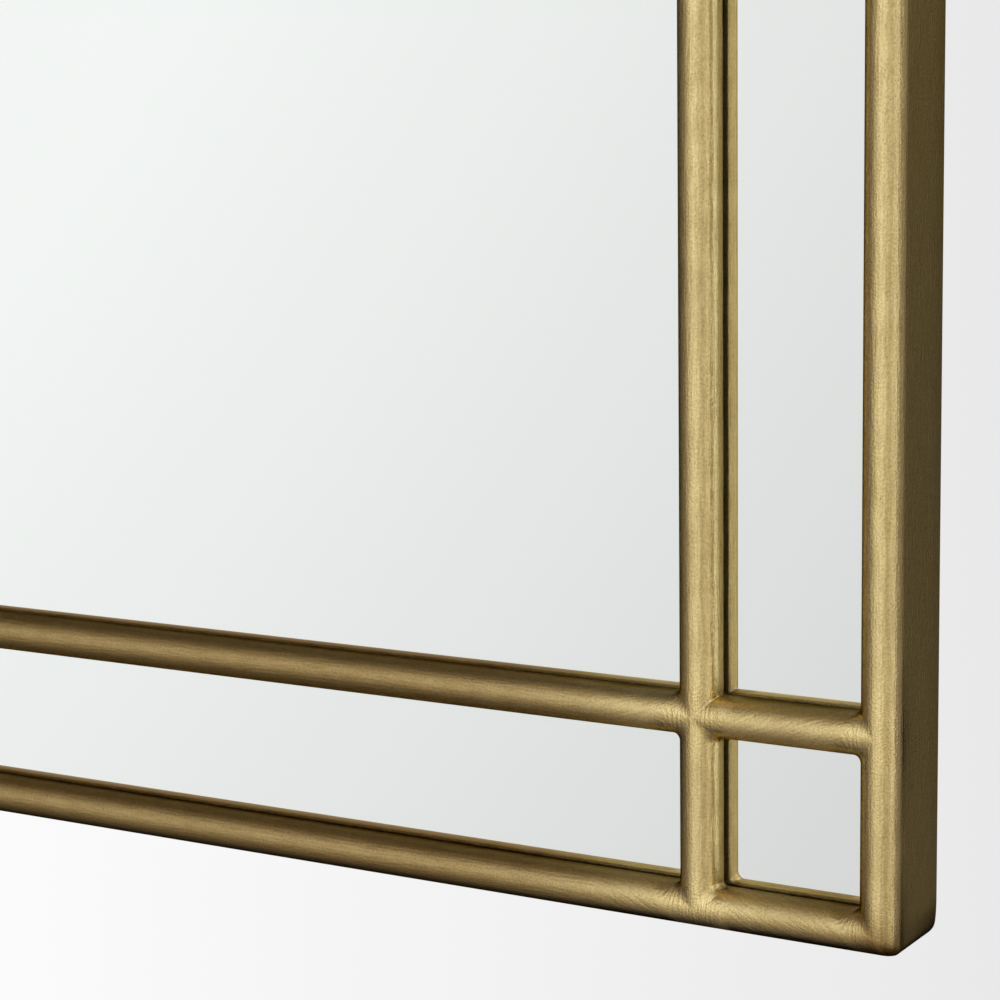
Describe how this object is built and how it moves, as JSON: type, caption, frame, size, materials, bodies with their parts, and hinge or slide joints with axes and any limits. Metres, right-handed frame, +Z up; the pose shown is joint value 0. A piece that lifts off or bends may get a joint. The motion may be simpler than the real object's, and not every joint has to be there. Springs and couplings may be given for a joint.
{
  "type": "arched mirror",
  "caption": "Arched wall mirror in a half-round bar frame with an antique brass finish, an inner border of bars over the glass, and swinging ring hangers behind.",
  "frame": {"origin": "on the wall plane, midway between the two wall hooks at the height where the rings bear on them", "axes": "+X to the right of someone who faces the mirror, +Y into the wall, +Z up"},
  "size_m": [0.762, 0.042, 1.016],
  "materials": {
    "antique_brass": "brushed, dark patina on edges",
    "silvered_glass": "clear glass silvered on its back",
    "fibreboard": "raw brown fibreboard",
    "foam_tape": "white foam tape",
    "zinc_steel": "zinc plated"
  },
  "bodies": {
    "mirror": {"backing_board": "fibreboard", "bottom_rail": "antique_brass", "crown_stub": "antique_brass", "foam_strips": "foam_tape", "hanger_screws": "zinc_steel", "inner_arch": "antique_brass", "inner_sill_bar": "antique_brass", "left_foot_stub": "antique_brass", "left_hanger_plate": "antique_brass", "left_hanger_strap": "zinc_steel", "left_side_stub": "antique_brass", "left_spring_stub": "antique_brass", "left_stile": "antique_brass", "left_upright": "antique_brass", "mirror_pane": "silvered_glass", "outer_arch": "antique_brass", "retaining_tabs": "zinc_steel", "right_foot_stub": "antique_brass", "right_hanger_plate": "antique_brass", "right_hanger_strap": "zinc_steel", "right_side_stub": "antique_brass", "right_spring_stub": "antique_brass", "right_stile": "antique_brass", "right_upright": "antique_brass", "tab_screws": "zinc_steel"},
    "left_ring": {"left_d_ring": "zinc_steel"},
    "right_ring": {"right_d_ring": "zinc_steel"}
  },
  "joints": [
    {"name": "left_ring_swing", "type": "hinge", "parent": "mirror", "child": "left_ring", "pos_m": [-0.3585, -0.00445, -0.0175], "axis": [1, 0, 0], "range_deg": [0, 175]},
    {"name": "right_ring_swing", "type": "hinge", "parent": "mirror", "child": "right_ring", "pos_m": [0.3585, -0.00445, -0.0175], "axis": [1, 0, 0], "range_deg": [0, 175]}
  ]
}
